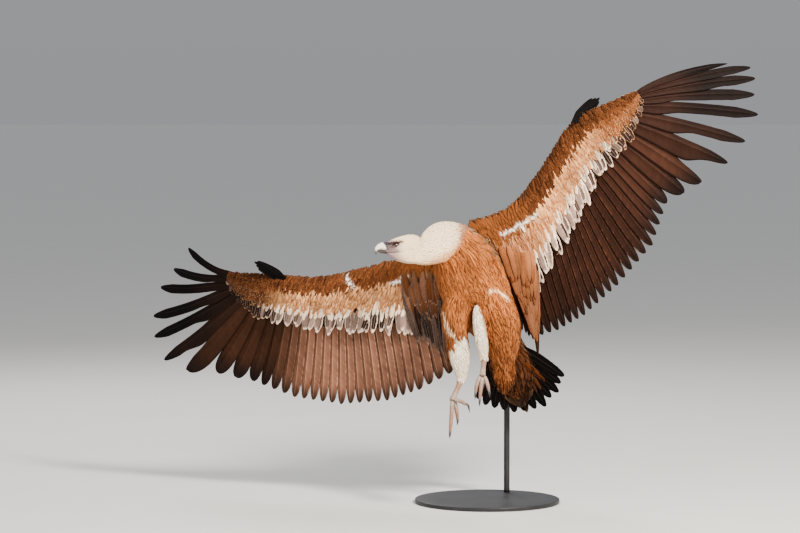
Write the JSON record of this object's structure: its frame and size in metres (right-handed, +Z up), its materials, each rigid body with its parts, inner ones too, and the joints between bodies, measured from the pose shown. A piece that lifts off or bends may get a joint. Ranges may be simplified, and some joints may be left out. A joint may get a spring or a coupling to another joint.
{
  "type": "griffon vulture",
  "caption": "Life-size griffon vulture coming in to land, wings spread and legs lowered, held by a rod on a round flat base.",
  "frame": {"origin": "middle of the round base's underside", "axes": "+Z up; the belly faces -Y, the head is turned to -X and the wings spread along X"},
  "size_m": [2.2789, 0.9544, 1.6387],
  "materials": {
    "tawny_plumage": "matt contour feathers, tawny brown with pale shaft streaks",
    "wing_coverts": "matt feathers, tawny at the leading edge and cream towards the quills",
    "white_down": "short matt down, cream white",
    "dark_quills": "smooth feather vanes, black-brown with a soft sheen",
    "scaly_skin": "scaly bare skin, pale grey",
    "claw_horn": "smooth dark horn",
    "pale_bill": "satin pale horn",
    "bill_horn": "satin grey-brown horn",
    "iris": "wet gloss",
    "painted_steel": "satin black paint"
  },
  "bodies": {
    "root": {"trunk": "tawny_plumage", "tail_coverts": "tawny_plumage", "tail_feathers": "dark_quills", "neck": "white_down", "head": "white_down", "bill_upper": "pale_bill", "bill_lower": "bill_horn", "eye_left": "iris", "eye_right": "iris", "thigh_left": "tawny_plumage", "shank_left": "white_down", "shin_left": "scaly_skin", "toe_left_inner": "scaly_skin", "toe_left_middle": "scaly_skin", "toe_left_outer": "scaly_skin", "toe_left_hind": "scaly_skin", "claw_left_inner": "claw_horn", "claw_left_middle": "claw_horn", "claw_left_outer": "claw_horn", "claw_left_hind": "claw_horn", "thigh_right": "tawny_plumage", "shank_right": "white_down", "shin_right": "scaly_skin", "toe_right_inner": "scaly_skin", "toe_right_middle": "scaly_skin", "toe_right_outer": "scaly_skin", "toe_right_hind": "scaly_skin", "claw_right_inner": "claw_horn", "claw_right_middle": "claw_horn", "claw_right_outer": "claw_horn", "claw_right_hind": "claw_horn", "wing_left_upper_arm": "wing_coverts", "wing_left_forearm": "wing_coverts", "wing_left_hand": "wing_coverts", "wing_left_alula": "dark_quills", "wing_left_primaries": "dark_quills", "wing_left_secondaries": "dark_quills", "wing_right_upper_arm": "wing_coverts", "wing_right_forearm": "wing_coverts", "wing_right_hand": "wing_coverts", "wing_right_alula": "dark_quills", "wing_right_primaries": "dark_quills", "wing_right_secondaries": "dark_quills", "stand_base": "painted_steel", "stand_rod": "painted_steel", "stand_pad": "painted_steel"}
  },
  "joints": []
}
